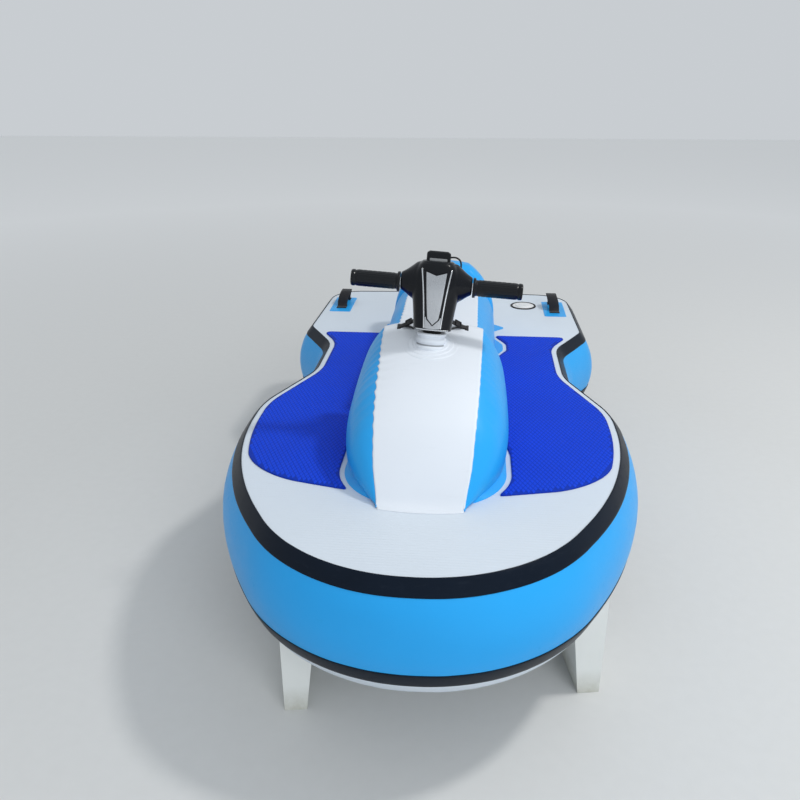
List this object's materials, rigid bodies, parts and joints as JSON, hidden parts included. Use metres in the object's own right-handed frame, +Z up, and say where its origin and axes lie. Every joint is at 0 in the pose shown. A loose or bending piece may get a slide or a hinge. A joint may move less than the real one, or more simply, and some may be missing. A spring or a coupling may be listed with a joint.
{
  "type": "electric inflatable motorboat on cradles",
  "caption": "Small one-person inflatable electric boat with a padded deck, a console with a leaning handlebar, a seat, a guarded stern thruster and two cradles it stands on.",
  "frame": {"origin": "on the ground under the middle of the boat", "axes": "+Z up, -Y toward the bow, +X to port"},
  "size_m": [1.084, 2.139, 0.9759],
  "materials": {
    "hull_blue": "satin PVC-coated fabric",
    "deck_white": "satin PVC-coated fabric",
    "tape_navy": "glued PVC tape",
    "pad_blue": "grooved foam",
    "webbing": "woven webbing",
    "black_plastic": "moulded, satin",
    "grip_rubber": "moulded, matt",
    "bare_metal": "brushed",
    "prop_plastic": "moulded",
    "lens": "clear",
    "battery_grey": "moulded",
    "cradle_white": "painted foam board"
  },
  "bodies": {
    "boat": {"hull_core": "hull_blue", "deck_sheet": "deck_white", "bottom_sheet": "deck_white", "upper_seam_tape": "tape_navy", "lower_seam_tape": "tape_navy", "foot_pad_port": "pad_blue", "foot_pad_starboard": "pad_blue", "console_apron": "hull_blue", "console_body": "hull_blue", "console_top_skin": "deck_white", "seat_apron": "hull_blue", "seat_body": "hull_blue", "seat_top_skin": "deck_white", "seat_back": "hull_blue", "battery_block": "battery_grey", "column_base": "deck_white", "column_sleeve": "black_plastic", "column_strap_port": "webbing", "column_strap_starboard": "webbing", "handle_patch_port": "hull_blue", "handle_patch_starboard": "hull_blue", "handle_strap_port": "webbing", "handle_strap_starboard": "webbing", "valve_ring": "black_plastic", "valve_cap": "black_plastic", "thruster_mount": "black_plastic", "front_cradle": "cradle_white", "rear_cradle": "cradle_white"},
    "steering": {"steering_stem": "bare_metal", "handlebar_tube": "bare_metal", "grip_port": "grip_rubber", "grip_starboard": "grip_rubber", "cowl_front": "black_plastic", "cowl_rear": "black_plastic", "cowl_panel": "bare_metal", "display_case": "black_plastic", "display_lens": "lens", "display_cable": "grip_rubber"},
    "thruster": {"thruster_strut": "black_plastic", "motor_pod": "black_plastic", "guard_ring": "black_plastic"},
    "propeller": {"propeller": "prop_plastic"}
  },
  "joints": [
    {"name": "steering_turn", "type": "hinge", "parent": "boat", "child": "steering", "pos_m": [0, -0.4065, 0.75274], "axis": [0.0687, 0.1736, 0.9824], "range_deg": [-35, 35]},
    {"name": "thruster_swivel", "type": "hinge", "parent": "boat", "child": "thruster", "pos_m": [0, 0.8185, 0.19], "axis": [0, 0, 1], "range_deg": [-35, 35]},
    {"name": "propeller_spin", "type": "hinge", "parent": "thruster", "child": "propeller", "pos_m": [0, 0.9365, 0.112], "axis": [0, 1, 0], "continuous": true}
  ],
  "couplings": [
    {"joint": "thruster_swivel", "follows": "steering_turn", "ratio": -1}
  ]
}
